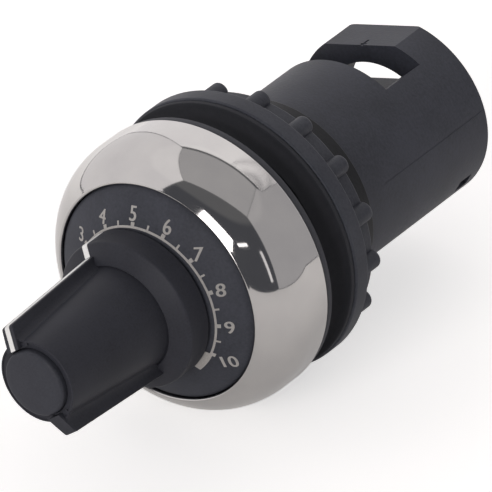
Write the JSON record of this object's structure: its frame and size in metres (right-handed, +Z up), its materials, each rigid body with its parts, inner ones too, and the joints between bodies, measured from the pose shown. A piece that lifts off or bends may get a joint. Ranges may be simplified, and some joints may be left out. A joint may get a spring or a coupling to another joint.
{
  "type": "rotary potentiometer",
  "caption": "Panel-mounted rotary potentiometer with a winged pointer knob, printed dial, chrome bezel, lugged ring nut and a tubular rear housing with a wiring window.",
  "frame": {"origin": "on the axis of rotation, in the plane where the panel seal meets the front of the panel", "axes": "+Y along the axis of rotation from the knob to the terminals, +Z up through the middle of the dial scale, +X to the right seen from the front"},
  "size_m": [0.0296, 0.062, 0.0296],
  "materials": {
    "bezel_chrome": "polished chrome plate",
    "dial_plastic": "fine matt moulded plastic with white print",
    "housing_plastic": "matt moulded plastic",
    "nut_plastic": "matt moulded plastic",
    "seal_rubber": "matt black rubber",
    "brass_parts": "plain brass",
    "plated_steel": "bright plated steel",
    "board_phenolic": "phenolic laminate",
    "carbon_track": "printed carbon film",
    "knob_plastic": "satin moulded plastic",
    "cap_plastic": "satin moulded plastic",
    "white_plastic": "white moulded plastic"
  },
  "bodies": {
    "housing": {"bezel_ring": "bezel_chrome", "dial_plate": "dial_plastic", "front_housing": "housing_plastic", "panel_seal": "seal_rubber", "ring_nut": "nut_plastic", "nut_washer": "seal_rubber", "shaft_seal": "seal_rubber", "seal_retainer": "housing_plastic", "shaft_bushing": "brass_parts", "bushing_nut": "plated_steel", "bushing_washer": "plated_steel", "pot_can": "plated_steel", "track_board": "board_phenolic", "resistive_track": "carbon_track", "collector_ring": "brass_parts", "rear_housing": "housing_plastic", "terminal_block": "housing_plastic", "contact_rail_start": "brass_parts", "contact_rail_wiper": "brass_parts", "contact_rail_end": "brass_parts", "terminal_washers": "plated_steel", "terminal_screws": "plated_steel"},
    "rotor": {"knob_body": "knob_plastic", "knob_cap": "cap_plastic", "pointer_inlay": "white_plastic", "skirt_mark": "white_plastic", "collet": "brass_parts", "collet_nut": "brass_parts", "shaft": "plated_steel", "shaft_clip": "plated_steel", "wiper_carrier": "white_plastic", "wiper_spring": "brass_parts"}
  },
  "joints": [
    {"name": "knob_turn", "type": "hinge", "parent": "housing", "child": "rotor", "pos_m": [0, 0, 0], "axis": [0, 1, 0], "range_deg": [-108, 162]}
  ]
}
